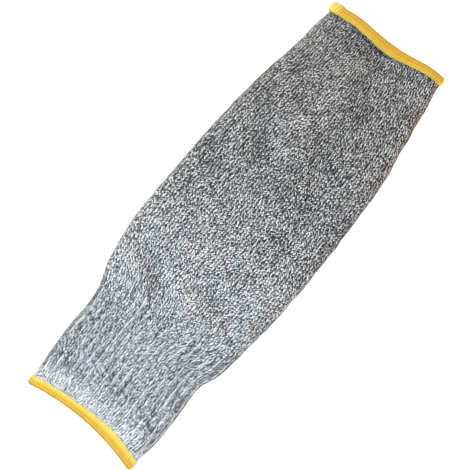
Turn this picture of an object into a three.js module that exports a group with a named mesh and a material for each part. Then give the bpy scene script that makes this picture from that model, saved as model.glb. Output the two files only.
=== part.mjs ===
// A cut resistant sleeve lying flat: a seamless knitted tube with a ribbed, elastic wrist, and a
// ring of yellow overlock seam round each open end. Millimetres. +X runs from the wrist to the
// upper arm, +Z is up, and the sleeve rests on z = 0.
import * as THREE from 'three';

// Driving dimensions
const sleeveLength = 254; // along the middle line, over both edgings
const bodyWidth = 94; // lying flat, twice the reach of its widest place from the middle line
const layerSpacing = 11; // between the middles of the lower and the upper layer, at the side folds
const fabricThickness = 1.2;
const ribCount = 36; // round the whole tube
const ribDepth = 0.3;
const ribbedLength = 62; // from the wrist opening
const ribFadeLength = 18;
const wristEdgingWidth = 6.2;
const upperEdgingWidth = 5.2;
const threadThickness = 0.5; // of the seam's threads, over the fabric
const edgeWrap = 1.1; // how far the threads stand past the cut edge of the fabric
const lapLength = 7; // where the upper seam starts and ends on itself
const lapRise = 1.1;
const settleLength = 11; // over which the fabric comes down from an edging to its own level
const seamClearance = 0.3;

// How far the line of each opening departs from a straight cut, as lengths along X
const wristHollow = 4.4; // the middle of the wrist opening lies back from its corners
const wristLean = 1.3; // the +Y corner lies back, the -Y corner stands out
const upperLean = 2.3;
const upperWave = 1.1;
const upperWavePeriod = 1.7; // in half widths of the opening
const upperWaveStart = 0.3;

// Sections of the tube, as shares: along the sleeve, the +Y and -Y edges as shares of half the
// body's width, the spacing of the layers and the sag of the upper one as shares of layerSpacing
const sections = [
  { along: 0.0, plusEdge: 0.772, minusEdge: 0.74, spacing: 0.89, sag: 0.03 },
  { along: 0.06, plusEdge: 0.791, minusEdge: 0.785, spacing: 0.92, sag: 0.04 },
  { along: 0.13, plusEdge: 0.811, minusEdge: 0.789, spacing: 0.95, sag: 0.05 },
  { along: 0.21, plusEdge: 0.806, minusEdge: 0.778, spacing: 0.96, sag: 0.06 },
  { along: 0.25, plusEdge: 0.836, minusEdge: 0.856, spacing: 0.98, sag: 0.06 },
  { along: 0.29, plusEdge: 0.907, minusEdge: 0.901, spacing: 1.0, sag: 0.06 },
  { along: 0.34, plusEdge: 0.969, minusEdge: 0.933, spacing: 1.0, sag: 0.06 },
  { along: 0.4, plusEdge: 1.0, minusEdge: 0.965, spacing: 1.0, sag: 0.06 },
  { along: 0.52, plusEdge: 0.989, minusEdge: 0.989, spacing: 1.0, sag: 0.06 },
  { along: 0.66, plusEdge: 0.954, minusEdge: 0.978, spacing: 1.0, sag: 0.06 },
  { along: 0.78, plusEdge: 0.899, minusEdge: 0.941, spacing: 0.98, sag: 0.06 },
  { along: 0.84, plusEdge: 0.845, minusEdge: 0.884, spacing: 0.96, sag: 0.05 },
  { along: 0.92, plusEdge: 0.783, minusEdge: 0.817, spacing: 0.92, sag: 0.04 },
  { along: 1.0, plusEdge: 0.733, minusEdge: 0.755, spacing: 0.89, sag: 0.03 },
];

// Soft ridges and dents of the upper layer. Their places are shares along the sleeve and across it,
// their reach to either side shares of half the body's width, their rise a share of layerSpacing,
// and turn is the angle in degrees between +X and their long way.
const folds = [
  { name: 'crease ridge', along: 0.325, across: 0.37, long: 0.3, short: 0.07, turn: 54, rise: 0.1 },
  { name: 'dent before it', along: 0.312, across: 0.5, long: 0.22, short: 0.09, turn: 66, rise: -0.1 },
  { name: 'hollow beside it', along: 0.366, across: -0.31, long: 0.24, short: 0.17, turn: 80, rise: -0.07 },
  { name: 'cuff shoulder', along: 0.25, across: 0.62, long: 0.24, short: 0.1, turn: 35, rise: 0.05 },
  { name: 'upper swell', along: 0.8, across: 0.2, long: 0.28, short: 0.18, turn: 20, rise: 0.07 },
  { name: 'upper dent', along: 0.8, across: 0.5, long: 0.22, short: 0.12, turn: 10, rise: -0.06 },
  { name: 'upper hollow', along: 0.77, across: -0.42, long: 0.26, short: 0.16, turn: 70, rise: -0.05 },
  { name: 'dip at the edging', along: 0.955, across: 0.12, long: 0.36, short: 0.1, turn: 90, rise: -0.09 },
];

// Steps of the mesh
const foldSteps = 6; // round each side fold
const flatSteps = ribCount - foldSteps; // across the lower and across the upper layer
const pointsRound = 2 * ribCount;
const settleSteps = 3;
const middleSteps = 34;

const halfFabric = fabricThickness / 2;
const slotHalf = halfFabric + seamClearance;
const edgingHalf = slotHalf + threadThickness;
const fabricInset = edgeWrap + seamClearance; // from the outside of an edging to the cut edge
const fabricLength = sleeveLength - 2 * fabricInset;
const wristHeld = wristEdgingWidth + seamClearance - fabricInset; // fabric inside each edging
const upperHeld = upperEdgingWidth + seamClearance - fabricInset;

const smooth = (low, high, value) => THREE.MathUtils.smoothstep(value, low, high);

// Cubic through the rows of the table, with the slope at a row taken from its neighbours
function sectionValue(column, along) {
  const last = sections.length - 1;
  const found = sections.findIndex((row) => row.along > along);
  const upper = found < 0 ? last : Math.max(found, 1);
  const slope = (index) => {
    const before = sections[Math.max(index - 1, 0)];
    const after = sections[Math.min(index + 1, last)];
    return (after[column] - before[column]) / (after.along - before.along);
  };
  const start = sections[upper - 1];
  const end = sections[upper];
  const span = end.along - start.along;
  const t = (along - start.along) / span;
  return (
    (1 + 2 * t) * (1 - t) ** 2 * start[column] +
    t * (1 - t) ** 2 * span * slope(upper - 1) +
    t * t * (3 - 2 * t) * end[column] -
    t * t * (1 - t) * span * slope(upper)
  );
}

// X of the outside of each edging, at a share across the opening
const wristLine = (across) =>
  -sleeveLength / 2 - wristHollow * across ** 2 + wristLean * across;
const upperLine = (across) =>
  sleeveLength / 2 -
  upperLean * across +
  upperWave * (1 - across ** 4) * Math.sin((2 * Math.PI * (across - upperWaveStart)) / upperWavePeriod);

// Share of the way up to an edging's level: 1 inside the edgings, 0 where the fabric lies freely
function heldByEdging(distance) {
  const fromWrist = distance - wristHeld;
  const fromUpper = fabricLength - distance - upperHeld;
  return 1 - smooth(0, settleLength, Math.min(fromWrist, fromUpper));
}

// Height that the folds add to the upper layer
function foldRise(along, across) {
  const halfWidth = bodyWidth / 2;
  return folds.reduce((sum, fold) => {
    const turn = THREE.MathUtils.degToRad(fold.turn);
    const dx = ((along - fold.along) * sleeveLength) / halfWidth;
    const dy = across - fold.across;
    const long = (dx * Math.cos(turn) + dy * Math.sin(turn)) / fold.long;
    const short = (dy * Math.cos(turn) - dx * Math.sin(turn)) / fold.short;
    return sum + fold.rise * layerSpacing * Math.exp(-long * long - short * short);
  }, 0);
}

// Middle of the fabric at a distance along it and at a step round it: across the upper layer from
// +Y to -Y, round the -Y fold, back along the lower layer, and round the +Y fold
function middleOf(distance, step) {
  const along = distance / fabricLength;
  const held = heldByEdging(distance);
  const spacing = sectionValue('spacing', along) * layerSpacing;
  const radius = spacing / 2;
  const plusY = (sectionValue('plusEdge', along) * bodyWidth) / 2 - halfFabric;
  const minusY = (-sectionValue('minusEdge', along) * bodyWidth) / 2 + halfFabric;
  const centreY = (plusY + minusY) / 2;
  const halfWidth = (plusY - minusY) / 2;
  const flatHalf = halfWidth - radius;
  const lowZ = halfFabric + held * (edgingHalf - halfFabric);
  const turn = (step + pointsRound) % pointsRound;
  const isUpper = turn < ribCount;
  const side = isUpper ? -1 : 1;
  const part = turn % ribCount;
  let y;
  let z = lowZ;
  if (part <= flatSteps) {
    const share = side * ((2 * part) / flatSteps - 1);
    y = centreY + share * flatHalf;
    if (isUpper) {
      const sag = sectionValue('sag', along) * layerSpacing * (1 - share ** 2) ** 2;
      const rise = foldRise(along, (share * flatHalf) / halfWidth) * (1 - held) * (1 - share ** 8);
      z += spacing - sag + rise;
    }
  } else {
    const angle = (Math.PI * (part - flatSteps)) / foldSteps;
    y = centreY + side * (flatHalf + radius * Math.sin(angle));
    z += radius - side * radius * Math.cos(angle);
  }
  return { along, across: (y - centreY) / halfWidth, y, z };
}

// A point at an offset outwards from the middle of the fabric, square to it in its section, and
// shifted along X. The direction is taken between the points half a step before and after it.
function sleevePoint(distance, step, offset, shiftX = 0) {
  const here = middleOf(distance, step);
  const before = middleOf(distance, step - 0.5);
  const after = middleOf(distance, step + 0.5);
  const outward = new THREE.Vector2(after.z - before.z, before.y - after.y).normalize();
  const first = wristLine(here.across) + fabricInset;
  const last = upperLine(here.across) - fabricInset;
  return new THREE.Vector3(
    THREE.MathUtils.lerp(first, last, here.along) + shiftX,
    here.y + outward.x * offset,
    here.z + outward.y * offset
  );
}

function meshOf(name, points, triangles, material) {
  const geometry = new THREE.BufferGeometry();
  geometry.setFromPoints(points);
  geometry.setIndex(triangles);
  geometry.computeVertexNormals();
  const mesh = new THREE.Mesh(geometry, material);
  mesh.name = name;
  return mesh;
}

// Distances along the fabric of the tube's sections, closer together where it leaves an edging
function stations() {
  const settle = Array.from({ length: settleSteps + 1 }, (_, i) => (settleLength * i) / settleSteps);
  const start = wristHeld + settleLength;
  const stride = (fabricLength - upperHeld - settleLength - start) / middleSteps;
  const middle = Array.from({ length: middleSteps - 1 }, (_, i) => start + stride * (i + 1));
  return [
    0,
    ...settle.map((length) => wristHeld + length),
    ...middle,
    ...settle.map((length) => fabricLength - upperHeld - length).reverse(),
    fabricLength,
  ];
}

// Steps of the inner skin and of the edgings: every point of the folds, every second one between
const coarseSteps = Array.from({ length: pointsRound }, (_, step) => step).filter(
  (step) => (step % ribCount) % 2 === 0 || step % ribCount >= flatSteps
);

// The knitted tube: an outer skin whose every second point lies in the valley between two ribs at
// the wrist, and an inner skin, joined round both cut edges
function sleeveTube(material) {
  const points = [];
  const triangles = [];
  const rows = stations();
  const quad = (a, b, c, d) => triangles.push(a, b, c, a, c, d);
  rows.forEach((distance) => {
    const ribs = ribDepth * (1 - smooth(ribbedLength, ribbedLength + ribFadeLength, distance));
    for (let step = 0; step < pointsRound; step += 1) {
      points.push(sleevePoint(distance, step, halfFabric - (step % 2) * ribs));
    }
  });
  const innerStart = points.length;
  rows.forEach((distance) => {
    coarseSteps.forEach((step) => points.push(sleevePoint(distance, step, -halfFabric)));
  });
  const innerSize = coarseSteps.length;
  const outer = (row, step) => row * pointsRound + (step % pointsRound);
  const inner = (row, index) => innerStart + row * innerSize + (index % innerSize);
  const last = rows.length - 1;
  for (let row = 0; row < last; row += 1) {
    for (let step = 0; step < pointsRound; step += 1) {
      quad(outer(row, step), outer(row, step + 1), outer(row + 1, step + 1), outer(row + 1, step));
    }
    for (let index = 0; index < innerSize; index += 1) {
      quad(inner(row, index), inner(row + 1, index), inner(row + 1, index + 1), inner(row, index + 1));
    }
  }
  coarseSteps.forEach((step, index) => {
    const next = coarseSteps[index + 1] ?? pointsRound;
    for (let from = step; from < next; from += 1) {
      triangles.push(outer(0, from + 1), outer(0, from), inner(0, index));
      triangles.push(outer(last, from), outer(last, from + 1), inner(last, index));
    }
    triangles.push(outer(0, next), inner(0, index), inner(0, index + 1));
    triangles.push(outer(last, next), inner(last, index + 1), inner(last, index));
  });
  return meshOf('sleeve_tube', points, triangles, material);
}

// U section of an edging: distance inwards from its outside, and offset from the fabric's middle.
// Its rounded outside is a quarter of an ellipse to each face, in two chords.
function edgingSection(width) {
  const bend = Math.SQRT1_2;
  const face = [
    [width, slotHalf],
    [width - threadThickness, edgingHalf],
    [edgeWrap, edgingHalf],
    [edgeWrap * (1 - bend), edgingHalf * bend],
  ];
  return [
    ...face,
    [0, 0],
    ...face.map(([inwards, offset]) => [inwards, -offset]).reverse(),
    [edgeWrap, -slotHalf],
    [edgeWrap, slotHalf],
  ];
}

// One overlock edging: its section carried round the opening. The lap is a swelling at the +Y fold.
function edging(name, width, atWrist, lap, material) {
  const section = edgingSection(width);
  const points = [];
  const triangles = [];
  const foldMiddle = ribCount + flatSteps + foldSteps / 2;
  const place = (step, inwards, offset) => {
    const onFabric = Math.max(inwards - fabricInset, 0);
    const beyond = Math.max(fabricInset - inwards, 0);
    const distance = atWrist ? onFabric : fabricLength - onFabric;
    return sleevePoint(distance, step, offset, atWrist ? -beyond : beyond);
  };
  const centre = place(foldMiddle, 0, 0);
  coarseSteps.forEach((step) => {
    const fromLap = place(step, 0, 0).distanceTo(centre) / (lapLength / 2);
    const swell = lap * Math.exp(-(fromLap ** 4));
    section.forEach(([inwards, offset]) => {
      const outwards = offset > slotHalf ? swell : 0;
      const past = inwards < edgeWrap ? swell / 2 : 0;
      points.push(place(step, inwards - past, offset + outwards));
    });
  });
  const size = section.length;
  coarseSteps.forEach((_, ring) => {
    const next = (ring + 1) % coarseSteps.length;
    for (let side = 0; side < size; side += 1) {
      const after = (side + 1) % size;
      const a = ring * size + side;
      const b = ring * size + after;
      const c = next * size + after;
      const d = next * size + side;
      if (atWrist) {
        triangles.push(a, b, c, a, c, d);
      } else {
        triangles.push(a, c, b, a, d, c);
      }
    }
  });
  return meshOf(name, points, triangles, material);
}

const knit = new THREE.MeshStandardMaterial({ color: 0x8e9192, roughness: 0.92, metalness: 0 });
const yellowThread = new THREE.MeshStandardMaterial({ color: 0xf2c333, roughness: 0.6, metalness: 0 });

const sleeve = new THREE.Group();
sleeve.add(
  sleeveTube(knit),
  edging('wrist_edging', wristEdgingWidth, true, 0, yellowThread),
  edging('upper_edging', upperEdgingWidth, false, lapRise, yellowThread)
);

// The origin is under the middle of the sleeve's box
const middle = new THREE.Box3().setFromObject(sleeve).getCenter(new THREE.Vector3());
sleeve.position.set(-middle.x, -middle.y, 0);

export default sleeve;
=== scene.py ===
# %% [markdown]
# # A knitted cut resistant sleeve
# The sleeve lies flat on a pale surface: a seamless tube of salt-and-pepper yarn, narrower and ribbed
# at the wrist, with a ring of yellow overlock seam round each open end. The solids of the frame give
# its form. This script gives its looks: every stitch of the knit and every thread of the seams as
# real relief, the yarns' colours, the light and the camera.

# %% The frame
import math
from functools import partial

import bpy
import numpy as np
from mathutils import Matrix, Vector


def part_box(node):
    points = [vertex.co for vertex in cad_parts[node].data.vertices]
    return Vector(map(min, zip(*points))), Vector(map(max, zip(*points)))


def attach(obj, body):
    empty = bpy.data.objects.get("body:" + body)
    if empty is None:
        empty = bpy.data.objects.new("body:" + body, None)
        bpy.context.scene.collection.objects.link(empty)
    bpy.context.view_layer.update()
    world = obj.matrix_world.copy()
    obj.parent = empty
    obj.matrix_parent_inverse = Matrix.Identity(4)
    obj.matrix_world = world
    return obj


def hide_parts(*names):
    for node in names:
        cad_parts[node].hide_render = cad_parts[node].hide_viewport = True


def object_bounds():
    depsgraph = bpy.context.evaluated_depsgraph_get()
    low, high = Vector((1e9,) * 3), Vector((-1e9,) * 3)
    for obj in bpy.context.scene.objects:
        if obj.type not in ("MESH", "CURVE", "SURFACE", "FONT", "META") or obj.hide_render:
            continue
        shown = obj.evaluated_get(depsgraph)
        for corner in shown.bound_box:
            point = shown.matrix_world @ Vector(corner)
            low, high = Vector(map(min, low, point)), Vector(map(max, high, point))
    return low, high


MM = 0.001
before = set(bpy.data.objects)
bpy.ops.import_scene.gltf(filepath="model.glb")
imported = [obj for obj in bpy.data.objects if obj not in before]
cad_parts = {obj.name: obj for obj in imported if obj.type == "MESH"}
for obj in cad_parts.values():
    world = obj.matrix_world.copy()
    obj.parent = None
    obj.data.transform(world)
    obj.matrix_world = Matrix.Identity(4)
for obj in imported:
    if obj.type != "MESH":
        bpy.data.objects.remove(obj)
cad_low, cad_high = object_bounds()
print("box of the solids, mm:", [round(v / MM, 2) for v in (*cad_low, *cad_high)])

# %% [markdown]
# ## The camera
# The sleeve was photographed from straight above, lying slanted in the picture. A camera that looks
# down could be placed near with a wide lens, but then the folds at the sides would lean outwards. A
# long lens from far away keeps the outline true, so the camera stands two metres up, turned about
# the vertical so that the sleeve runs from the lower left to the upper right.

# %% Camera above the sleeve
LENS_MM = 300
SENSOR_MM = 36
VIEW_WIDTH = 245.3 * MM  # of the picture, at the middle height of the sleeve
VIEW_CENTRE = (-0.84 * MM, -0.86 * MM)
PICTURE_TURN = -51.29  # degrees from the sleeve's length to the picture's right

middle_height = (cad_low.z + cad_high.z) / 2
camera_data = bpy.data.cameras.new("camera")
camera_data.lens = LENS_MM
camera_data.sensor_width = SENSOR_MM
camera = bpy.data.objects.new("camera", camera_data)
camera.location = (*VIEW_CENTRE, middle_height + VIEW_WIDTH * LENS_MM / SENSOR_MM)
camera.rotation_euler = (0, 0, math.radians(PICTURE_TURN))
bpy.context.scene.collection.objects.link(camera)
bpy.context.scene.camera = camera
print("camera height, m:", round(camera.location.z, 3))

# %% [markdown]
# ## The cloth as a surface
# The knit follows the surface of its solid: two layers joined by a round fold at each side. It is a
# function of two parameters, the distance walked along the sleeve and the share walked round it,
# starting at the fold on the +Y side and going over the top. Walking round by arc length matters,
# because real stitches are equally wide on the flat and on the folds. The sizes are those of the
# solid, and the tables hold shares of them.
#
# The upper layer of a sleeve that has been worn has swells and dents. Each is a smooth bell added to
# its height, one row of a table with its place, its reach both ways, its turn and its rise.

# %% Sizes and tables of the cloth
SLEEVE_LENGTH = 254 * MM
BODY_WIDTH = 94 * MM
LAYER_SPACING = 11 * MM
HALF_FABRIC = 0.6 * MM
WRIST_EDGING_WIDTH = 6.2 * MM
UPPER_EDGING_WIDTH = 5.2 * MM
THREAD_THICKNESS = 0.5 * MM
EDGE_WRAP = 1.1 * MM
SEAM_CLEARANCE = 0.3 * MM
SETTLE_LENGTH = 11 * MM
WRIST_HOLLOW = 4.4 * MM
WRIST_LEAN = 1.3 * MM
UPPER_LEAN = 2.3 * MM
UPPER_WAVE = 1.1 * MM
UPPER_WAVE_PERIOD = 1.7
UPPER_WAVE_START = 0.3
STITCH_INSET = 0.6 * MM  # of the folds' middle, so that the stitches end at the solid's side
HELD_INSET = 0.5 * MM  # added to it under the edgings, which are thicker

SLOT_HALF = HALF_FABRIC + SEAM_CLEARANCE
EDGING_HALF = SLOT_HALF + THREAD_THICKNESS
FABRIC_INSET = EDGE_WRAP + SEAM_CLEARANCE
FABRIC_LENGTH = SLEEVE_LENGTH - 2 * FABRIC_INSET
WRIST_HELD = WRIST_EDGING_WIDTH + SEAM_CLEARANCE - FABRIC_INSET
UPPER_HELD = UPPER_EDGING_WIDTH + SEAM_CLEARANCE - FABRIC_INSET

# Shares of the length, of half the width and of the layers' spacing. A turn is in degrees.
SECTION_COLUMNS = ("along", "plus_edge", "minus_edge", "spacing", "sag")
SECTIONS = np.array([
    (0.00, 0.772, 0.740, 0.89, 0.03),
    (0.06, 0.791, 0.785, 0.92, 0.04),
    (0.13, 0.811, 0.789, 0.95, 0.05),
    (0.21, 0.806, 0.778, 0.96, 0.06),
    (0.25, 0.836, 0.856, 0.98, 0.06),
    (0.29, 0.907, 0.901, 1.00, 0.06),
    (0.34, 0.969, 0.933, 1.00, 0.06),
    (0.40, 1.000, 0.965, 1.00, 0.06),
    (0.52, 0.989, 0.989, 1.00, 0.06),
    (0.66, 0.954, 0.978, 1.00, 0.06),
    (0.78, 0.899, 0.941, 0.98, 0.06),
    (0.84, 0.845, 0.884, 0.96, 0.05),
    (0.92, 0.783, 0.817, 0.92, 0.04),
    (1.00, 0.733, 0.755, 0.89, 0.03),
])
FOLD_COLUMNS = ("along", "across", "long", "short", "turn", "rise")
FOLDS = np.array([
    (0.300, 0.64, 0.24, 0.11, 60, 0.12),  # swell beyond the cuff
    (0.333, 0.53, 0.28, 0.085, 60, -0.26),  # crease beside it
    (0.358, -0.31, 0.22, 0.14, 80, -0.22),  # hollow
    (0.305, -0.10, 0.26, 0.12, 60, 0.12),  # second swell
    (0.675, 0.43, 0.18, 0.11, 30, -0.14),  # middle dent
    (0.690, 0.20, 0.26, 0.10, 120, 0.11),  # middle crease
    (0.820, 0.22, 0.50, 0.16, 5, 0.12),  # upper swell
    (0.800, 0.42, 0.17, 0.10, 10, -0.20),  # upper dent
    (0.800, -0.20, 0.70, 0.20, 5, -0.08),  # upper hollow
    (0.957, 0.16, 0.40, 0.09, 90, -0.13),  # dip at the edging
])
print("cloth between the edgings' outsides, mm:", round(FABRIC_LENGTH / MM, 1))


# %% The middle of the cloth
def smooth(low, high, value):
    """Smooth step: 3t^2 - 2t^3 of the share t of the way from low to high."""
    share = np.clip((value - low) / (high - low), 0, 1)
    return share * share * (3 - 2 * share)


def section_value(column, along):
    """Cubic through the rows of the table, whose slope at a row is that between its neighbours."""
    places = SECTIONS[:, 0]
    values = SECTIONS[:, SECTION_COLUMNS.index(column)]
    before = np.maximum(np.arange(len(places)) - 1, 0)
    after = np.minimum(np.arange(len(places)) + 1, len(places) - 1)
    slopes = (values[after] - values[before]) / (places[after] - places[before])
    end = np.clip(np.searchsorted(places, along, side="right"), 1, len(places) - 1)
    start = end - 1
    span = places[end] - places[start]
    t = (along - places[start]) / span
    return (
        (1 + 2 * t) * (1 - t) ** 2 * values[start]
        + t * (1 - t) ** 2 * span * slopes[start]
        + t * t * (3 - 2 * t) * values[end]
        - t * t * (1 - t) * span * slopes[end]
    )


def wrist_line(across):
    """X of the outside of the wrist edging: a hollow with the square of the place across."""
    return -SLEEVE_LENGTH / 2 - WRIST_HOLLOW * across**2 + WRIST_LEAN * across


def upper_line(across):
    """X of the outside of the upper edging: a lean and a wave that fades towards the corners."""
    wave = np.sin(2 * math.pi * (across - UPPER_WAVE_START) / UPPER_WAVE_PERIOD)
    return SLEEVE_LENGTH / 2 - UPPER_LEAN * across + UPPER_WAVE * (1 - across**4) * wave


def held_by_edging(distance):
    """1 inside the edgings, 0 where the cloth lies freely, smooth between."""
    nearest = np.minimum(distance - WRIST_HELD, FABRIC_LENGTH - distance - UPPER_HELD)
    return 1 - smooth(0, SETTLE_LENGTH, nearest)


def fold_rise(along, across):
    """Sum of the ridges and dents: each is its rise times exp(-long^2 - short^2), where long and
    short are the distances from it along and across its own direction, as shares of its reach."""
    total = 0
    for fold in FOLDS:
        row = dict(zip(FOLD_COLUMNS, fold))
        turn = math.radians(row["turn"])
        dx = (along - row["along"]) * SLEEVE_LENGTH / (BODY_WIDTH / 2)
        dy = across - row["across"]
        long = (dx * math.cos(turn) + dy * math.sin(turn)) / row["long"]
        short = (dy * math.cos(turn) - dx * math.sin(turn)) / row["short"]
        total = total + row["rise"] * LAYER_SPACING * np.exp(-long * long - short * short)
    return total


def across_upper(around):
    """Place across the upper layer, from 1 at the +Y fold to -1 at the -Y fold, and whether the
    point is on that layer."""
    share = around % 1
    return 1 - 4 * share, share < 0.5


def fabric_middle(distance, around):
    """Points of the cloth's middle. Round the section, a quarter circle of the +Y fold, the flat
    upper layer, the half circle of the -Y fold, the lower layer and the last quarter circle."""
    along = distance / FABRIC_LENGTH
    held = held_by_edging(distance)
    spacing = section_value("spacing", along) * LAYER_SPACING
    radius = spacing / 2
    inset = HALF_FABRIC + STITCH_INSET + HELD_INSET * held
    plus_y = section_value("plus_edge", along) * BODY_WIDTH / 2 - inset
    minus_y = -section_value("minus_edge", along) * BODY_WIDTH / 2 + inset
    centre_y = (plus_y + minus_y) / 2
    half_width = (plus_y - minus_y) / 2
    flat_half = half_width - radius
    quarter = math.pi * radius / 2
    half_round = 2 * flat_half + 2 * quarter
    run = (around % 1) * 2 * half_round
    upper = run < half_round
    walked = np.where(upper, run, 2 * half_round - run)
    turn = np.clip(walked, 0, quarter) / radius
    turn_back = np.clip(half_round - walked, 0, quarter) / radius
    flat = np.clip(walked - quarter, 0, 2 * flat_half)
    share = 1 - flat / flat_half
    y = centre_y + share * flat_half + radius * (np.cos(turn) - np.cos(turn_back))
    low_z = HALF_FABRIC + held * (EDGING_HALF - HALF_FABRIC)
    level = np.minimum(np.sin(turn), np.sin(turn_back))
    sag = section_value("sag", along) * LAYER_SPACING * (1 - share**2) ** 2
    rise = fold_rise(along, share * flat_half / half_width) * (1 - held) * (1 - share**8)
    z = low_z + radius + np.where(upper, radius * level - sag + rise, -radius * level)
    across = (y - centre_y) / half_width
    start = wrist_line(across) + FABRIC_INSET
    end = upper_line(across) - FABRIC_INSET
    return np.stack(np.broadcast_arrays(start + (end - start) * along, y, z), -1)


# %% Where the cloth lies in the frame
def unit(vectors):
    """Vectors of length one."""
    return vectors / np.maximum(np.linalg.norm(vectors, axis=-1, keepdims=True), 1e-12)


def fabric_surface(distance, around):
    """Points of the middle and outward normals: the way round crossed with the way along."""
    step_along, step_round = 0.3 * MM, 0.001
    way_along = fabric_middle(distance + step_along, around) - fabric_middle(distance - step_along, around)
    way_round = fabric_middle(distance, around + step_round) - fabric_middle(distance, around - step_round)
    return fabric_middle(distance, around), unit(np.cross(way_round, way_along))


def rings(distances, around):
    """A column of distances and a row of shares round the sleeve, ready to be combined."""
    return np.asarray(distances)[:, None], np.asarray(around)[None, :]


plain_net = rings(np.linspace(0, FABRIC_LENGTH, 120), np.arange(360) / 360)
plain_points, plain_normals = fabric_surface(*plain_net)
plain_skin = plain_points + HALF_FABRIC * plain_normals
plain_box = np.stack([plain_skin.min((0, 1)), plain_skin.max((0, 1))])
tube_box = np.array([tuple(corner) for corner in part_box("sleeve_tube")])
SHIFT = (tube_box - plain_box).mean(0) * [1, 1, 0]
print("shift onto the solid, mm:", (SHIFT / MM).round(2))
print("the boxes then differ by, mm:", ((plain_box + SHIFT - tube_box) / MM).round(2).tolist())

# %% [markdown]
# ## The knit
# A plain knit is columns of V-shaped stitches, called wales, in rows called courses. The pattern
# could be a bump texture, but then it would vanish at the edge of the sleeve and in the exported
# mesh. Modelling every loop of yarn as a tube would take tens of millions of triangles. Here the
# rows of a grid are bent into a zigzag that follows the legs of the Vs, and a height for each point
# raises the legs and sinks the grooves. Four columns a wale and three rows a course are enough.
#
# At the wrist every third wale lies lower, which makes the elastic rib. Beside the upper edging the
# seam pulls the cloth down into a crevice. Seeded waves add the small puckers of a real cloth and let
# the wales wander a little, and what would reach below the surface is pressed flat on it.

# %% Sizes of the stitches
WALES = 114
COURSES = 200
COLUMNS_PER_WALE = 4
ROWS_PER_COURSE = 3
BANDS = 4  # of the knit, one after another along the sleeve
LEG_RISE = 0.2 * MM
LEG_ENDS, LEG_SWELL = 0.3, 0.9  # shares of the rise at a leg's ends and added in its middle
WALE_GROOVE = 0.2 * MM
CENTRE_GROOVE = 0.1 * MM
RIB_DEPTH = 0.12 * MM
RIB_WALES = 3
RIB_VALLEY = 2.5  # place of its lowest line, in wales
RIB_SHARPNESS = 5  # power of its cosine
RIB_START, RIB_END, RIB_FADE = 12 * MM, 62 * MM, 18 * MM
RIB_STRAIGHTNESS = 0.9  # share of the wandering that the elastic takes away
RIB_SMOOTHNESS = 0.4  # share of the puckers that it takes away
CREVICE_DEPTH = 1.7 * MM  # where the cloth sinks in beside the upper edging
CREVICE_PLACE = 0.9 * MM  # from its inner border
CREVICE_HALF_WIDTH = 0.85 * MM
CREVICE_SOFT_DEPTH = 0.9 * MM
CREVICE_SOFT_WIDTH = 4.5 * MM
CREVICE_SOFT_START, CREVICE_SOFT_FULL = -0.4 * MM, 1.6 * MM
CREVICE_ACROSS, CREVICE_REACH = 0.1, 0.36  # of the half width
YARN_UNEVENNESS = 0.035 * MM
PUCKER = 0.15 * MM
WANDER = 0.06  # of a wale or a course
END_COURSES = 4  # at each end, over which the stitches straighten under the edging
END_RELIEF = 0.55  # share of their height that stays there

rng = np.random.default_rng(23)


def random_waves(count, shortest, longest):
    """Directions and phases of plane waves with wavelengths between two lengths."""
    directions = unit(rng.normal(size=(count, 3)))
    lengths = rng.uniform(shortest, longest, count)
    return directions * (2 * math.pi / lengths)[:, None], rng.uniform(0, 2 * math.pi, count)


def sum_of_waves(points, waves):
    """Sum of sin(k . p + phase) over the waves, scaled to about one."""
    directions, phases = waves
    total = np.zeros(points.shape[:-1])
    for direction, phase in zip(directions, phases):
        total += np.sin(points @ direction + phase)
    return total / math.sqrt(len(phases) / 2)


pucker_waves = random_waves(26, 8 * MM, 34 * MM)
wander_waves = random_waves(10, 22 * MM, 60 * MM)
course_waves = random_waves(10, 16 * MM, 50 * MM)


def ribbed(distance):
    """1 in the ribbed wrist, 0 in the plain knit."""
    begun = smooth(RIB_START / 2, RIB_START, distance)
    return begun * (1 - smooth(RIB_END, RIB_END + RIB_FADE, distance))


def stitch_height(wale, course, distance):
    """Height of the stitches: a leg is highest a quarter and three quarters across its wale, and
    lower where one course's leg meets the next. The rib sinks every third wale by a cosine."""
    leg = np.sin(2 * math.pi * wale) ** 2
    border = np.cos(math.pi * wale) ** 2
    strand = np.sin(math.pi * course) ** 2
    grooves = WALE_GROOVE * border + CENTRE_GROOVE * (1 - border)
    rib = (0.5 + 0.5 * np.cos(2 * math.pi * (wale - RIB_VALLEY) / RIB_WALES)) ** RIB_SHARPNESS
    raised = LEG_RISE * leg * (LEG_ENDS + LEG_SWELL * strand)
    return raised - grooves * (1 - leg) - RIB_DEPTH * rib * ribbed(distance)


def crevice(distance, around):
    """Depth of the crevice beside the upper edging: a narrow bell and a wider one, both on the
    upper layer only and fading across the sleeve."""
    from_border = FABRIC_LENGTH - UPPER_HELD - distance
    across, is_upper = across_upper(around)
    narrow = CREVICE_DEPTH * np.exp(-(((from_border - CREVICE_PLACE) / CREVICE_HALF_WIDTH) ** 2))
    wide = CREVICE_SOFT_DEPTH * np.exp(-((from_border / CREVICE_SOFT_WIDTH) ** 2))
    wide = wide * smooth(CREVICE_SOFT_START, CREVICE_SOFT_FULL, from_border)
    fade = np.exp(-(((across - CREVICE_ACROSS) / CREVICE_REACH) ** 4))
    return (narrow + wide) * fade * is_upper


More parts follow.
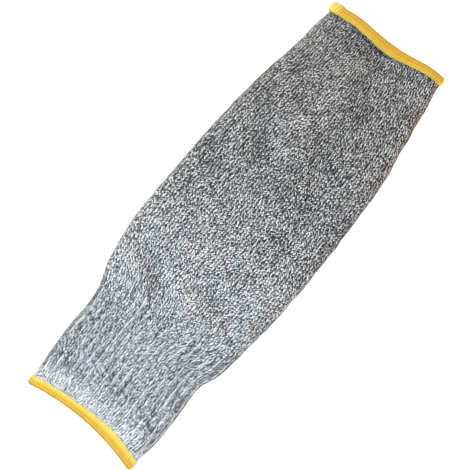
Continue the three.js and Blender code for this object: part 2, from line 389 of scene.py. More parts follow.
def knit_skin(rows_per_course, columns_per_wale, side):
    """A skin of the knit on one side of the cloth, +1 outside and -1 inside, as rows by columns.
    The zigzag bends a row by half a course, up the sleeve at the borders of a wale and down it in
    the middle."""
    course, wale = rings(
        np.arange(COURSES * rows_per_course + 1) / rows_per_course,
        np.arange(WALES * columns_per_wale) / columns_per_wale,
    )
    course_length = FABRIC_LENGTH / COURSES
    free = smooth(0, END_COURSES, course) * smooth(0, END_COURSES, COURSES - course)
    place = fabric_middle(course * course_length, wale / WALES)
    zigzag = np.abs(2 * (wale % 1) - 1) - 0.5
    bent = course + free * (zigzag + WANDER * sum_of_waves(place, course_waves))
    stray = WANDER * (1 - RIB_STRAIGHTNESS * ribbed(course * course_length))
    moved_wale = wale + stray * free * sum_of_waves(place, wander_waves)
    distance = np.clip(bent * course_length, 0, FABRIC_LENGTH)
    middle, normal = fabric_surface(distance, moved_wale / WALES)
    height = HALF_FABRIC * np.ones(distance.shape)
    if side > 0:
        height += stitch_height(wale, course, distance) * (END_RELIEF + (1 - END_RELIEF) * free)
        height += rng.normal(0, YARN_UNEVENNESS, distance.shape)
    loose = (1 - held_by_edging(distance)) * (1 - RIB_SMOOTHNESS * ribbed(distance))
    puckers = PUCKER * sum_of_waves(middle, pucker_waves) * loose
    points = middle + normal * (side * height + puckers)[..., None] + SHIFT
    points[..., 2] -= crevice(distance, moved_wale / WALES)
    points[..., 2] = np.maximum(points[..., 2], 0 if side > 0 else HALF_FABRIC)
    return points


outer = knit_skin(ROWS_PER_COURSE, COLUMNS_PER_WALE, 1)
inner = knit_skin(1, 2, -1)
print("stitches:", WALES * COURSES, "points outside and inside:", outer.shape[:2], inner.shape[:2])


# %% Meshes from grids
def grid_normals(points, side):
    """Normals of a grid that closes round its columns: the ways round and along, crossed."""
    way_round = np.roll(points, -1, 1) - np.roll(points, 1, 1)
    way_along = np.gradient(points, axis=0)
    return side * unit(np.cross(way_round, way_along))


def grid_corners(rows, columns, side):
    """Row and column of the four corners of each face, in the order that faces outwards."""
    row, column = np.meshgrid(np.arange(rows - 1), np.arange(columns), indexing="ij")
    corner_rows = np.stack([row, row, row + 1, row + 1], -1).reshape(-1, 4)
    corner_columns = np.stack([column, column + 1, column + 1, column], -1).reshape(-1, 4)
    return corner_rows[:, ::side], corner_columns[:, ::side]


def make_piece(name, points, normals, faces, uv_maps, material):
    """A mesh object from points, a list of face arrays and one value a face corner for each map."""
    mesh = bpy.data.meshes.new(name)
    corners = np.concatenate([f.ravel() for f in faces])
    sizes = np.concatenate([np.full(len(f), f.shape[1]) for f in faces])
    mesh.vertices.add(len(points))
    mesh.vertices.foreach_set("co", points.astype(np.float32).ravel())
    mesh.loops.add(len(corners))
    mesh.loops.foreach_set("vertex_index", corners.astype(np.int32))
    mesh.polygons.add(len(sizes))
    mesh.polygons.foreach_set("loop_start", (np.cumsum(sizes) - sizes).astype(np.int32))
    mesh.update(calc_edges=True)
    for map_name, values in uv_maps.items():
        layer = mesh.uv_layers.new(name=map_name)
        places = np.concatenate([v.reshape(-1, 2) for v in values])
        layer.uv.foreach_set("vector", places.astype(np.float32).ravel())
    mesh.shade_smooth()
    mesh.normals_split_custom_set_from_vertices(normals)
    mesh.materials.append(material)
    piece = bpy.data.objects.new(name, mesh)
    bpy.context.scene.collection.objects.link(piece)
    print(name, "triangles:", int((sizes - 2).sum()))
    return piece


def store_values(piece, name, values):
    """Keeps one number for each point, which a material reads by its name."""
    attribute = piece.data.attributes.new(name, "FLOAT", "POINT")
    attribute.data.foreach_set("value", values.astype(np.float32).ravel())


def in_box(s, t, box):
    """Shares s and t of a box (left, low, right, high) of the square that the colours bake into."""
    left, low, right, high = box
    return np.stack(np.broadcast_arrays(left + s * (right - left), low + t * (high - low)), -1)


# %% [markdown]
# ## Materials from node groups
# A short helper makes a node and connects it in one call, so that a material reads like a list of
# steps. The many steps of the yarn are a group with named inputs and outputs.

# %% Helpers for nodes
def add_node(tree, kind, inputs=None, **settings):
    """A node of that kind. Its inputs are given by name or number, as values or as sockets."""
    node = tree.nodes.new(kind)
    for key, value in settings.items():
        setattr(node, key, value)
    for key, value in (inputs or {}).items():
        if isinstance(value, bpy.types.NodeSocket):
            tree.links.new(value, node.inputs[key])
        else:
            node.inputs[key].default_value = value
    return node


def calculate(tree, operation, *values, clamp=False):
    """The output of a Math node."""
    inputs = dict(enumerate(values))
    return add_node(tree, "ShaderNodeMath", inputs, operation=operation, use_clamp=clamp).outputs[0]


def arithmetic(tree):
    """The functions plus, minus and times in one tree."""
    return [partial(calculate, tree, operation) for operation in ("ADD", "SUBTRACT", "MULTIPLY")]


def apart(tree, first, second):
    """How far two values are from each other."""
    return calculate(tree, "ABSOLUTE", calculate(tree, "SUBTRACT", first, second))


def remap(tree, value, from_low, from_high, to_low, to_high, interpolation="LINEAR"):
    """The output of a Map Range node, kept within its ends."""
    ends = {"From Min": from_low, "From Max": from_high, "To Min": to_low, "To Max": to_high}
    node = add_node(tree, "ShaderNodeMapRange", {"Value": value, **ends}, interpolation_type=interpolation)
    return node.outputs["Result"]


def vector(tree, x, y, z=0.0):
    """Three numbers or sockets as one vector."""
    return add_node(tree, "ShaderNodeCombineXYZ", {0: x, 1: y, 2: z}).outputs[0]


def random_cell(tree, x, y, seed):
    """A random value for each whole x and y."""
    cell = vector(tree, calculate(tree, "FLOOR", x), calculate(tree, "FLOOR", y), seed)
    noise = add_node(tree, "ShaderNodeTexWhiteNoise", {"Vector": cell}, noise_dimensions="3D")
    return noise.outputs["Value"]


def soft_noise(tree, x, y, detail):
    """A smooth noise over x and y."""
    inputs = {"Vector": vector(tree, x, y), "Scale": 1.0, "Detail": detail}
    return add_node(tree, "ShaderNodeTexNoise", inputs, noise_dimensions="2D").outputs["Fac"]


def mix_colours(tree, share, first, second, blend="MIX"):
    """The colour output of a Mix node."""
    inputs = {0: share, 6: first, 7: second}
    return add_node(tree, "ShaderNodeMix", inputs, data_type="RGBA", blend_type=blend).outputs[2]


def ramp(tree, value, stops):
    """A colour ramp through (place, colour) stops."""
    node = add_node(tree, "ShaderNodeValToRGB", {0: value})
    elements = node.color_ramp.elements
    while len(elements) < len(stops):
        elements.new(0.5)
    for element, (place, colour) in zip(elements, stops):
        element.position = place
        element.color = (*colour, 1)
    return node.outputs[0]


def new_group(name, inputs, outputs):
    """An empty node group with named sockets, its tree, and its inner input and output nodes."""
    group = bpy.data.node_groups.new(name, "ShaderNodeTree")
    for socket, kind in inputs.items():
        group.interface.new_socket(socket, in_out="INPUT", socket_type=kind)
    for socket, kind in outputs.items():
        group.interface.new_socket(socket, in_out="OUTPUT", socket_type=kind)
    return group, group.nodes.new("NodeGroupInput"), group.nodes.new("NodeGroupOutput")


def new_material(name):
    """A material with its Principled BSDF."""
    material = bpy.data.materials.new(name)
    material.use_nodes = True
    return material, material.node_tree, material.node_tree.nodes["Principled BSDF"]


# %% [markdown]
# ## The yarn
# The yarn is plied from white, grey and black filaments, so each leg of a stitch shows another mix
# of them and the cloth looks like salt and pepper. A noise texture would give soft clouds. A white
# noise that is read at the number of the leg and at thirds of the course gives every ply one tone
# with sharp borders, as in the real cloth. A second, finer one is the twist within a leg, and a
# stretched noise is the fibres. Painted shade in the pits between the wales draws the lines of the knit.
#
# The hem at the wrist is the palest, each rib has a bright line, and the upper half is darker.
# Painted shade lies in the valley of each rib. Soft light hardly shades a dent of two or three
# millimetres, so shade is painted into the yarn in a dent, and light onto it on a swell.

# %% The marl of the yarn
PLY_CELLS = (2, 3)  # in each wale and course
PLY_SLANT = 0.9  # cells along the sleeve, from one side of a leg to the other
GRAIN_CELLS = (5, 4)
FIBRE_CELLS = (5, 16)
CLOUD_CELLS = (0.09, 0.11)
PLY_SHARE, GRAIN_SHARE = 0.6, 0.4
MIDDLE_TONE = 0.565
CONTRAST = 1.8
CLOUD_TONE = 0.25
FIBRE_TONE = 0.22
DARKENING_COURSES, DARKENING_TONES = (80, 118), (0.02, -0.15)  # from the wrist's half to the other
DENT_PAINTED_SHADE = 0.75  # painted shade for a dent as deep as the space between the layers, painted light on a swell
HEM_COURSES, HEM_TONE = (5, 14), 0.19
CUFF_BEGINS, CUFF_ENDS, CUFF_TONE = (8, 13), (50, 66), -0.08  # courses
# Painted shade in the pits between the wales, strongest at a wale's border.
PIT_BORDERS = (0.45, 0.95)  # shares of half a wale, from its middle
PIT_PAINTED_SHADE, PIT_IN_CUFF = 0.46, -0.14
PIT_BEAT = 0.6  # share of a pit that comes and goes with the courses
VALLEY_BORDERS, VALLEY_PAINTED_SHADE = (0.15, 0.45), 0.1  # painted shade in the valley of a rib; borders in wales from its lowest line
STREAK_PLACE, STREAK_BORDERS = 0.75, (0.1, 0.2)  # of the bright line of a rib, in wales
STREAK_TONE, STREAK_BASE, STREAK_PLY = 0.75, 0.6, 0.5
STREAK_NOISE = (7.3, 0.12)  # steps in it from rib to rib and from course to course
STREAK_BREAKS, STREAK_LEFT = (0.4, 0.5), 0.15  # the line comes and goes with that noise
LEG_BUMP, FIBRE_BUMP = 0.6, 0.35
YARN_ROUGHNESS = (0.62, 0.9)
YARN_COLOURS = [
    (0.0, (0.008, 0.008, 0.009)),
    (0.2, (0.035, 0.036, 0.04)),
    (0.4, (0.16, 0.165, 0.172)),
    (0.6, (0.40, 0.41, 0.42)),
    (0.8, (0.72, 0.735, 0.75)),
    (1.0, (0.92, 0.93, 0.94)),
]


def make_marl_group():
    """Colour, height and roughness of the yarn at a place (wale, course), with painted shade in a dent."""
    group, entry, leave = new_group(
        "marled_yarn",
        {"Place": "NodeSocketVector", "Dent": "NodeSocketFloat"},
        {"Colour": "NodeSocketColor", "Height": "NodeSocketFloat", "Roughness": "NodeSocketFloat"},
    )
    plus, minus, times = arithmetic(group)
    place = add_node(group, "ShaderNodeSeparateXYZ", {0: entry.outputs["Place"]})
    wale, course = place.outputs[0], place.outputs[1]

    def cells(counts):
        """Wale and course multiplied, so that whole numbers are the cells' borders."""
        return times(wale, counts[0]), times(course, counts[1])

    def centred(value, amount):
        """A value from 0 to 1, moved to lie about 0 and multiplied."""
        return times(minus(value, 0.5), amount)

    leg, ply_course = cells(PLY_CELLS)
    across_leg = calculate(group, "FRACT", leg)
    ply = random_cell(group, leg, plus(ply_course, times(across_leg, PLY_SLANT)), seed=3.0)
    grain = random_cell(group, *cells(GRAIN_CELLS), seed=8.0)
    fibre = soft_noise(group, *cells(FIBRE_CELLS), detail=2.0)
    cloud = soft_noise(group, *cells(CLOUD_CELLS), detail=2.0)
    across_wale = calculate(group, "FRACT", wale)
    from_middle = apart(group, times(across_wale, 2.0), 1.0)
    border = remap(group, from_middle, *PIT_BORDERS, 0.0, 1.0, "SMOOTHSTEP")
    beat = plus(0.5, times(calculate(group, "COSINE", times(course, 2 * math.pi)), 0.5))
    pit = times(border, plus(1 - PIT_BEAT, times(beat, PIT_BEAT)))

    hem = remap(group, course, *HEM_COURSES, 1.0, 0.0, "SMOOTHSTEP")
    cuff = times(remap(group, course, *CUFF_BEGINS, 0.0, 1.0), remap(group, course, *CUFF_ENDS, 1.0, 0.0))
    rib_place = calculate(group, "FLOORED_MODULO", wale, float(RIB_WALES))
    rib_number = calculate(group, "FLOOR", calculate(group, "DIVIDE", wale, float(RIB_WALES)))
    valley = remap(group, apart(group, rib_place, RIB_VALLEY), *VALLEY_BORDERS, 1.0, 0.0)
    streak = remap(group, apart(group, rib_place, STREAK_PLACE), *STREAK_BORDERS, 1.0, 0.0)
    noise_rib, noise_course = times(rib_number, STREAK_NOISE[0]), times(course, STREAK_NOISE[1])
    broken = soft_noise(group, noise_rib, noise_course, detail=1.0)
    streak = times(times(streak, remap(group, broken, *STREAK_BREAKS, STREAK_LEFT, 1.0)), cuff)

    tone = plus(times(ply, PLY_SHARE), times(grain, GRAIN_SHARE))
    tone = plus(centred(tone, CONTRAST), MIDDLE_TONE)
    tone = plus(tone, centred(cloud, CLOUD_TONE))
    tone = plus(tone, centred(fibre, FIBRE_TONE))
    tone = plus(tone, remap(group, course, *DARKENING_COURSES, *DARKENING_TONES))
    # painted shade in the dents and painted light on the swells
    tone = minus(tone, times(entry.outputs["Dent"], DENT_PAINTED_SHADE))
    tone = plus(tone, plus(times(hem, HEM_TONE), times(cuff, CUFF_TONE)))
    tone = plus(tone, times(times(streak, plus(STREAK_BASE, times(ply, STREAK_PLY))), STREAK_TONE))
    # painted shade in the pits between the wales
    tone = minus(tone, times(pit, plus(PIT_PAINTED_SHADE, times(cuff, PIT_IN_CUFF))))
    # painted shade in the valley of each rib
    tone = minus(tone, times(times(valley, cuff), VALLEY_PAINTED_SHADE), clamp=True)

    strand_rise = calculate(group, "ABSOLUTE", calculate(group, "SINE", times(course, math.pi)))
    leg_rise = calculate(group, "ABSOLUTE", calculate(group, "SINE", times(wale, 2 * math.pi)))
    strand_height = times(strand_rise, plus(times(leg_rise, LEG_BUMP), 1 - LEG_BUMP))
    height = plus(strand_height, times(fibre, FIBRE_BUMP))
    group.links.new(ramp(group, tone, YARN_COLOURS), leave.inputs["Colour"])
    group.links.new(height, leave.inputs["Height"])
    group.links.new(remap(group, grain, 0.0, 1.0, *YARN_ROUGHNESS), leave.inputs["Roughness"])
    return group


def make_knit_material():
    """The grey knit: each mesh carries its map of wales and courses and how deep its dents are, for their
    painted shade.
    """
    material, tree, shader = new_material("grey_knit")
    place = add_node(tree, "ShaderNodeUVMap", uv_map="Knit").outputs[0]
    dent = add_node(tree, "ShaderNodeAttribute", attribute_name="Dent").outputs["Fac"]
    marl = add_node(tree, "ShaderNodeGroup", {"Place": place, "Dent": dent}, node_tree=make_marl_group())
    relief = {"Strength": 0.6, "Distance": 0.12 * MM, "Height": marl.outputs["Height"]}
    bump = add_node(tree, "ShaderNodeBump", relief)
    tree.links.new(marl.outputs["Colour"], shader.inputs["Base Color"])
    tree.links.new(marl.outputs["Roughness"], shader.inputs["Roughness"])
    tree.links.new(bump.outputs[0], shader.inputs["Normal"])
    shader.inputs["Specular IOR Level"].default_value = 0.35
    shader.inputs["Sheen Weight"].default_value = 0.08
    shader.inputs["Sheen Roughness"].default_value = 0.6
    return material


knit_material = make_knit_material()

# %% [markdown]
# ## The pieces of the knit
# The tube is one seamless piece, but one mesh of all its stitches would be too heavy, so it is cut
# crosswise into four bands. Neighbours share the points of their border and take their normals from
# the whole grid, so the cut can't be seen. Each band is closed by a thin wall at each end.

# %% Bands of the knit
outer_normals = grid_normals(outer, 1)
inner_normals = grid_normals(inner, -1)
INSIDE_MARK = 1000  # added to the wale number on the inside of the cloth
BAKE_BOXES = {  # left, low, right, high in the baked square of a band
    "upper": (0.005, 0.005, 0.995, 0.375),
    "lower": (0.005, 0.385, 0.995, 0.755),
    "inside": (0.005, 0.765, 0.995, 0.955),
    "start": (0.005, 0.963, 0.995, 0.973),
    "end": (0.005, 0.981, 0.995, 0.991),
}


def wall_triangles(inner, inner_next, first, second, third, side):
    """Three triangles for each step between two inner corners and the three outer ones beside
    them. side is +1 where the wall faces up the sleeve."""
    triangles = (inner, first, second), (inner, second, inner_next), (inner_next, second, third)
    return np.concatenate([np.stack(corners, 1) for corners in triangles])[:, ::side]


def end_wall(outer_ring, inner_ring, side):
    """Faces between a ring of the outer skin and one of the inner, which has half as many points."""
    first, second = outer_ring[0::2], outer_ring[1::2]
    return wall_triangles(inner_ring, np.roll(inner_ring, -1), first, second, np.roll(first, -1), side)


def wall_places(count, box, side):
    """Places of those faces in their box of the baked square: inner points low, outer ones high."""
    steps = np.arange(count)
    inner_places = (in_box((steps + shift) / count, 0.0, box) for shift in (0, 1))
    outer_places = (in_box((steps + shift) / count, 1.0, box) for shift in (0, 0.5, 1))
    return wall_triangles(*inner_places, *outer_places, side)


def dent_depths(rows, columns):
    """Depth of the dents at points of the outer skin, as a share of the space between the layers,
    and less than 0 on the swells; the yarn turns it into painted shade and painted light."""
    along, around = rings(rows / (COURSES * ROWS_PER_COURSE), np.arange(columns) / columns)
    across, is_upper = across_upper(around)
    return -fold_rise(along, across) / LAYER_SPACING * is_upper


def make_band(number):
    """One band of the knit, from its first course to its last."""
    rows = COURSES * ROWS_PER_COURSE // BANDS
    courses = COURSES // BANDS
    first_row, first_course = number * rows, number * courses
    skin_rows = slice(first_row, first_row + rows + 1)
    lining_rows = slice(first_course, first_course + courses + 1)
    skin, skin_normals = outer[skin_rows], outer_normals[skin_rows]
    lining, lining_normals = inner[lining_rows], inner_normals[lining_rows]
    columns, lining_columns = skin.shape[1], lining.shape[1]
    offset = (rows + 1) * columns
    row, column = grid_corners(rows + 1, columns, 1)
    inner_row, inner_column = grid_corners(courses + 1, lining_columns, -1)
    skin_faces = row * columns + column % columns
    lining_faces = offset + inner_row * lining_columns + inner_column % lining_columns
    first_ring, last_ring = np.arange(columns), rows * columns + np.arange(columns)
    first_lining = offset + np.arange(lining_columns)
    last_lining = first_lining + courses * lining_columns
    walls = end_wall(first_ring, first_lining, -1), end_wall(last_ring, last_lining, 1)

    half = columns // 2
    is_lower = (column.min(1, keepdims=True) >= half) & (column.max(1, keepdims=True) <= columns)
    upper_place = in_box(column / half, row / rows, BAKE_BOXES["upper"])
    lower_place = in_box(column / half - 1, row / rows, BAKE_BOXES["lower"])
    skin_place = np.where(is_lower[..., None], lower_place, upper_place)
    lining_place = in_box(inner_column / lining_columns, inner_row / courses, BAKE_BOXES["inside"])
    wall_place = [
        wall_places(lining_columns, BAKE_BOXES["start"], -1),
        wall_places(lining_columns, BAKE_BOXES["end"], 1),
    ]
    knit_place = [
        np.stack([column / COLUMNS_PER_WALE, (row + first_row) / ROWS_PER_COURSE], -1),
        np.stack([INSIDE_MARK + inner_column / 2, inner_row + first_course + 0.0], -1),
        *[np.zeros((len(wall), 3, 2)) + [0.25, first_course + 0.5] for wall in walls],
    ]
    band = make_piece(
        f"knit_band_{number + 1}",
        np.concatenate([skin.reshape(-1, 3), lining.reshape(-1, 3)]),
        np.concatenate([skin_normals.reshape(-1, 3), lining_normals.reshape(-1, 3)]),
        [skin_faces, lining_faces, *walls],
        {"Knit": knit_place, "OFBake": [skin_place, lining_place, *wall_place]},
        knit_material,
    )
    # depths for the painted shade and light of the yarn
    depths = dent_depths(np.arange(first_row, first_row + rows + 1), columns)
    store_values(band, "Dent", np.concatenate([depths.ravel(), np.zeros((courses + 1) * lining_columns)]))
    return band


bands = [make_band(number) for number in range(BANDS)]

# %% [markdown]
# ## The overlock edgings
# An overlock machine wraps threads round the cut edge. Seen from above they are slanted bars side by
# side, with a line of needle stitches across their middle and a row of small knots on the very
# edge. Hundreds of separate threads could be modelled, but they lie so close that only their tops
# show. So an edging is one closed ring: a U-shaped section is carried round the opening, and a
# height raises a round bar for every stitch, the needle line and the knots. The upper one swells
# where the seam runs over its own start.

# %% Sizes of the seams
STITCH_PITCH = 1.15 * MM
THREAD_COLUMNS = 10  # of the grid, for each stitch
THREAD_RISE = 0.24 * MM
THREAD_LEVEL = 0.75  # share of a bar's rise that lies inside the solid's face
THREAD_VARIATION = 0.12
THREAD_SLANT = 0.8  # stitches from the edge to the inner border
CROWN = 0.4 * MM  # the seam is thicker in its middle, like a flat roll
NEEDLE_PLACE = 0.45  # of the edging's width
NEEDLE_RISE = -0.2 * MM
NEEDLE_REACH = 0.5 * MM
KNOT_RISE = 0.12 * MM
KNOT_REACH = EDGE_WRAP / 2
SCALLOP = 0.35 * MM  # of the threads' ends at the inner border
SCALLOP_LEVEL, SCALLOP_VARIATION = 0.6, 0.5
LAP_RISE = 0.8 * MM
LAP_OUT = 0.7 * MM
LAP_HALF_LENGTH = 3.9 * MM
LAP_OUT_WIDTH = 0.4  # share of the edging's width, from its edge
LAP_CENTRE = 3.0 * MM  # round the opening from the middle of the +Y fold, over the top
WRIST_WIDTHS = ((-1.0, 0.92), (-0.5, 1.12), (-0.15, 0.95), (0.25, 0.79), (1.0, 0.78))  # across, share
UPPER_WIDTHS = ((-1.0, 0.78), (-0.5, 0.92), (-0.1, 1.18), (0.35, 1.08), (0.7, 1.0), (1.0, 1.0))


def edging_section(width):
    """Closed U section: distances inwards from the outside and offsets from the cloth's middle.
    A rounded inner border, a face, a half-ellipse nose, the face and border below, and the slot."""
    border = np.linspace(0, math.pi / 2, 4)
    nose = np.linspace(0, math.pi, 9)
    face = np.linspace(width - THREAD_THICKNESS, EDGE_WRAP, 7)[1:-1]
    top_in = np.concatenate([width - THREAD_THICKNESS * (1 - np.cos(border)), face])
    border_off = SLOT_HALF + THREAD_THICKNESS * np.sin(border)
    top_off = np.concatenate([border_off, np.full(len(face), EDGING_HALF)])
    slot_in = np.array([(width + EDGE_WRAP) / 2, EDGE_WRAP, EDGE_WRAP, (width + EDGE_WRAP) / 2])
    slot_off = SLOT_HALF * np.array([-1, -1, 1, 1])
    inwards = np.concatenate([top_in, EDGE_WRAP * (1 - np.sin(nose)), top_in[::-1], slot_in])
    offset = np.concatenate([top_off, EDGING_HALF * np.cos(nose), -top_off[::-1], slot_off])
    outside = np.arange(len(inwards)) < len(inwards) - len(slot_in)
    return inwards, offset, outside


def edging_points(width, widths, at_wrist, lap, stitches):
    """Grid of an edging, stitches round by points of the section, with the threads' heights, and
    for each point the number of its thread, its share of the width and the strength of the lap."""
    columns = stitches * THREAD_COLUMNS
    around = (np.arange(columns) / columns)[:, None]
    inwards, offset, outside = edging_section(width)
    step_in, step_off = (np.roll(part, -1) - np.roll(part, 1) for part in (inwards, offset))
    normal_in, normal_off = unit(np.stack([step_off, -step_in], -1)).T
    share = inwards / width
    thread = around * stitches + THREAD_SLANT * share
    number = np.floor(thread).astype(int) % stitches
    bar = np.sqrt(np.maximum(1 - (2 * (thread % 1) - 1) ** 2, 0))
    thickness = 1 + THREAD_VARIATION * rng.normal(size=stitches)[number]
    beat = np.abs(np.sin(math.pi * around * stitches))
    needle = NEEDLE_RISE * np.exp(-(((inwards - NEEDLE_PLACE * width) / NEEDLE_REACH) ** 2)) * beat
    knots = KNOT_RISE * np.exp(-((inwards / KNOT_REACH) ** 2)) * beat
    crown = CROWN * np.sin(math.pi * np.clip(share, 0, 1))
    height = outside * (THREAD_RISE * (bar * thickness - THREAD_LEVEL) + needle + knots + crown)
    reach = SCALLOP * (bar * (1 + SCALLOP_VARIATION * rng.normal(size=stitches)[number]) - SCALLOP_LEVEL)
    side_y = fabric_middle(0.0 if at_wrist else FABRIC_LENGTH, around)[..., 1]
    across = 2 * (side_y - side_y.min()) / np.ptp(side_y) - 1
    stretch = np.interp(across, *np.transpose(widths))
    round_length = stitches * STITCH_PITCH
    from_lap = ((around * round_length - LAP_CENTRE + round_length / 2) % round_length) - round_length / 2
    lapped = lap * np.exp(-((from_lap / LAP_HALF_LENGTH) ** 8))
    along_in = np.where(inwards > EDGE_WRAP, EDGE_WRAP + (inwards - EDGE_WRAP) * stretch, inwards)
    along_in = along_in + normal_in * height + reach * outside * share**6
    along_in = along_in - LAP_OUT * lapped * (share < LAP_OUT_WIDTH)
    along_off = offset + normal_off * height + LAP_RISE * lapped * (offset > SLOT_HALF)
    on_fabric = np.maximum(along_in - FABRIC_INSET, 0)
    beyond = np.maximum(FABRIC_INSET - along_in, 0)
    distance = on_fabric if at_wrist else FABRIC_LENGTH - on_fabric
    middle, normal = fabric_surface(distance, around)
    points = middle + normal * along_off[..., None] + SHIFT
    points[..., 0] += -beyond if at_wrist else beyond
    points[..., 2] = np.maximum(points[..., 2], 0)
    return points, thread, share, lapped


# %% [markdown]
# ## The thread of the seams
# Textured polyester thread is soft and slightly shiny, and glows where light comes through its
# filaments. Each bar gets painted light on its crest and painted shade, deeper and more orange, in
# its valley, a tone of its own, and fine filaments along it. The notches of the needle line get
# painted shade too. Across the edging the yellow has painted shade, darkest at the outer edge where
# the seam rolls down, and the wrist's edging has painted light at its inner border, lighter and more
# lemon than the upper one, whose border has painted shade.

# %% Material of the thread
# The crest share paints light on each bar's crest and shade between the bars.
CREST_PAINTED_SHADING, OWN_SHADE, FILAMENT_SHADE, BASE_SHADE = 0.26, 0.1, 0.3, 0.5
FILAMENTS = (9.0, 14.0)  # in a thread and in the width of the edging
FILAMENT_BUMP = 0.7
FILAMENT_TONES, THREAD_ROUGHNESS = (0.3, 0.7), (0.45, 0.65)
DASH_BORDERS, DASH_BEAT, DASH_STRENGTH = (0.05, 0.16), (0.45, 0.8), 0.75  # of the painted shade in the notches of the needle line
DASH_PAINTED_SHADE_COLOUR = (0.55, 0.19, 0.008, 1)
LAP_COLOUR, LAP_STRENGTH = (0.94, 0.80, 0.24, 1), 0.3
THREAD_COLOURS_AND_PAINTED_SHADE = [  # from the outer edge inwards: the thread's yellow, with painted shade darkest at the rolled outer edge
    (0.0, (0.44, 0.26, 0.022)),
    (0.06, (0.56, 0.33, 0.026)),
    (0.13, (0.72, 0.41, 0.03)),
    (0.25, (0.83, 0.49, 0.04)),
    (0.55, (0.89, 0.58, 0.055)),
]


def make_thread_material(name, border_colours_and_light):
    """Yellow thread: the map gives the number of the thread and the place across the edging, from
    0 at the outer edge to 1 at the inner border, and an attribute says where the seam laps."""
    material, tree, shader = new_material(name)
    plus, _, times = arithmetic(tree)
    thread_map = add_node(tree, "ShaderNodeUVMap", uv_map="Thread").outputs[0]
    place = add_node(tree, "ShaderNodeSeparateXYZ", {0: thread_map})
    lap = add_node(tree, "ShaderNodeAttribute", attribute_name="Lap").outputs["Fac"]
    thread, across = place.outputs[0], place.outputs[1]
    bar = calculate(tree, "ABSOLUTE", calculate(tree, "SINE", times(thread, math.pi)))
    tone = random_cell(tree, thread, 0.0, seed=5.0)
    filament = soft_noise(tree, times(thread, FILAMENTS[0]), times(across, FILAMENTS[1]), detail=3.0)
    colour = ramp(tree, across, [*THREAD_COLOURS_AND_PAINTED_SHADE, (0.75, border_colours_and_light[0]), (1.0, border_colours_and_light[1])])
    # painted light on each bar's crest and painted shade between the bars, with the thread's own tone and
    # filaments
    shade = plus(times(bar, CREST_PAINTED_SHADING), times(tone, OWN_SHADE))
    shade = plus(plus(shade, times(filament, FILAMENT_SHADE)), BASE_SHADE, clamp=True)
    grey = add_node(tree, "ShaderNodeCombineColor", {0: shade, 1: shade, 2: shade}).outputs[0]
    colour = mix_colours(tree, 1.0, colour, grey, "MULTIPLY")
    # painted shade in the notches of the needle line
    dash_line = remap(tree, apart(tree, across, NEEDLE_PLACE), *DASH_BORDERS, 1.0, 0.0)
    dash = times(dash_line, remap(tree, bar, *DASH_BEAT, 1.0, 0.0))
    colour = mix_colours(tree, times(dash, DASH_STRENGTH), colour, DASH_PAINTED_SHADE_COLOUR)
    colour = mix_colours(tree, times(lap, LAP_STRENGTH), colour, LAP_COLOUR)
    height = plus(times(filament, FILAMENT_BUMP), bar)
    bump = add_node(tree, "ShaderNodeBump", {"Strength": 0.5, "Distance": 0.1 * MM, "Height": height})
    tree.links.new(colour, shader.inputs["Base Color"])
    roughness = remap(tree, filament, *FILAMENT_TONES, *THREAD_ROUGHNESS)
    tree.links.new(roughness, shader.inputs["Roughness"])
    tree.links.new(bump.outputs[0], shader.inputs["Normal"])
    shader.inputs["Specular IOR Level"].default_value = 0.4
    shader.inputs["Sheen Weight"].default_value = 0.2
    shader.inputs["Sheen Roughness"].default_value = 0.45
    shader.inputs["Sheen Tint"].default_value = (1.0, 0.85, 0.35, 1)
    return material


# One yellow thread: the wrist's copy has painted light at its inner border, lighter and more lemon; the
# upper copy has painted shade there.
wrist_thread = make_thread_material("yellow_overlock_painted_light", [(0.90, 0.70, 0.10), (0.86, 0.74, 0.15)])
upper_thread = make_thread_material("yellow_overlock_painted_shade", [(0.88, 0.60, 0.06), (0.80, 0.62, 0.09)])
BAKE_ROWS = 6  # lengths of the ring, stacked in the baked square
ROW_MARGIN, ROW_HEIGHT = 0.03, 0.9  # of each
ROWS_BOX = (0.004, 0.0, 0.996, 1.0)


def make_edging(name, width, widths, at_wrist, lap, material):
    """A closed ring of thread round one opening."""
    distance = 0.0 if at_wrist else FABRIC_LENGTH
    outline = fabric_middle(*rings([distance], np.arange(721) / 720))[0]
    stitches = round(np.linalg.norm(np.diff(outline, axis=0), axis=1).sum() / STITCH_PITCH)
    stitches += -stitches % BAKE_ROWS
    points, thread, share, lapped = edging_points(width, widths, at_wrist, lap, stitches)
    columns, size = points.shape[:2]
    side = 1 if at_wrist else -1
    corner_ring, corner_column = grid_corners(columns + 1, size, side)
    faces = (corner_ring % columns) * size + corner_column % size
    row_length = columns // BAKE_ROWS
    bake_row = corner_ring.min(1, keepdims=True) // row_length
    s = corner_ring / row_length - bake_row
    t = (bake_row + ROW_MARGIN + ROW_HEIGHT * corner_column / size) / BAKE_ROWS
    thread_place = thread[corner_ring % columns, corner_column % size] + (corner_ring // columns) * stitches
    way_ring = np.roll(points, -1, 0) - np.roll(points, 1, 0)
    way_section = np.roll(points, -1, 1) - np.roll(points, 1, 1)
    normals = side * unit(np.cross(way_section, way_ring))
    print(name, "stitches:", stitches)
    piece = make_piece(
        name,
        points.reshape(-1, 3),
        normals.reshape(-1, 3),
        [faces],
        {
            "Thread": [np.stack([thread_place, share[corner_column % size]], -1)],
            "OFBake": [in_box(s, t, ROWS_BOX)],
        },
        material,
    )
    store_values(piece, "Lap", np.broadcast_to(lapped, (columns, size)))
    return piece


wrist_threads = make_edging("wrist_edging_threads", WRIST_EDGING_WIDTH, WRIST_WIDTHS, True, 0, wrist_thread)
upper_threads = make_edging("upper_edging_threads", UPPER_EDGING_WIDTH, UPPER_WIDTHS, False, 1, upper_thread)

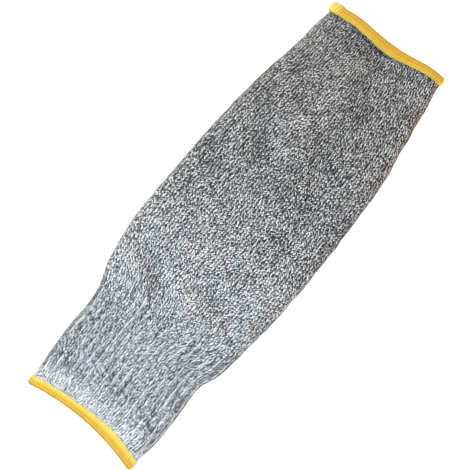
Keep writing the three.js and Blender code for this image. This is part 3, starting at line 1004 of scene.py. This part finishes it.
# %% [markdown]
# ## Light and floor
# The picture is bright and almost without shadow, on white. One large soft light overhead would do
# for that, but it would flatten the dents. So there are three: a wide cool window over the wrist,
# which is the brightest part, a lower and warmer lamp beyond the upper end, whose slanting light
# draws the dents, and a faint orange bounce from the -Y side. A pale world fills the shadows. The
# floor is a large pale sheet with a little glow of its own, and stays white without overexposing
# the cloth.

# %% Floor, world and lights
WORLD_COLOUR, WORLD_STRENGTH = (1.0, 0.97, 0.92, 1), 0.22
FLOOR_HALF = 4.0
FLOOR_DROP = 0.05 * MM  # under the sleeve
LIGHTS = [  # name, place, point it is turned to, width, watts, colour
    ("window", (-0.2, 0.0, 0.34), (-0.14, 0, 0), 0.4, 1.9, (0.76, 0.88, 1.0)),
    ("lamp", (0.37, 0.40, 0.20), (0.05, 0, 0), 0.15, 2.1, (1.0, 0.88, 0.68)),
    ("bounce", (0.25, -0.30, 0.12), (0.06, -0.02, 0), 0.2, 0.6, (1.0, 0.64, 0.33)),
]


def add_floor():
    """A large flat sheet just under the sleeve."""
    corners = [(x * FLOOR_HALF, y * FLOOR_HALF, 0) for x, y in ((-1, -1), (1, -1), (1, 1), (-1, 1))]
    mesh = bpy.data.meshes.new("floor")
    mesh.from_pydata(corners, [], [(0, 1, 2, 3)])
    floor = bpy.data.objects.new("floor", mesh)
    floor.location.z = -FLOOR_DROP
    bpy.context.scene.collection.objects.link(floor)
    material, _, shader = new_material("white_floor")
    shader.inputs["Base Color"].default_value = (0.9, 0.9, 0.9, 1)
    shader.inputs["Roughness"].default_value = 0.8
    shader.inputs["Emission Color"].default_value = (0.97, 0.98, 1.0, 1)
    shader.inputs["Emission Strength"].default_value = 0.65
    mesh.materials.append(material)


def add_area_light(name, place, aim, width, watts, colour):
    """A square soft light at a place, turned towards a point."""
    light = bpy.data.lights.new(name, "AREA")
    light.size = width
    light.energy = watts
    light.color = colour
    lamp = bpy.data.objects.new(name, light)
    lamp.location = place
    lamp.rotation_euler = (Vector(aim) - Vector(place)).to_track_quat("-Z", "Y").to_euler()
    bpy.context.scene.collection.objects.link(lamp)


world = bpy.data.worlds.new("studio")
world.use_nodes = True
world.node_tree.nodes["Background"].inputs["Color"].default_value = WORLD_COLOUR
world.node_tree.nodes["Background"].inputs["Strength"].default_value = WORLD_STRENGTH
bpy.context.scene.world = world
bpy.context.scene.view_settings.view_transform = "Standard"
bpy.context.scene.cycles.filter_width = 0.7  # pixels, so that the small picture stays crisp
add_floor()
for row in LIGHTS:
    add_area_light(*row)

# %% [markdown]
# ## Each piece in its place
# The knit stands for the tube's solid and the rings of thread for the edgings' solids.

# %% Pieces on the frame
flat_length = FABRIC_LENGTH / BANDS
for number, band in enumerate(bands):
    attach(band, "root")
    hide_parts("sleeve_tube")
    distances = np.linspace(number, number + 1, 26) * flat_length
    net = fabric_middle(*rings(distances, np.arange(361) / 360))
for threads, node in ((wrist_threads, "wrist_edging"), (upper_threads, "upper_edging")):
    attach(threads, "root")
    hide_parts(node)

# %% Update of the scene
bpy.context.view_layer.update()
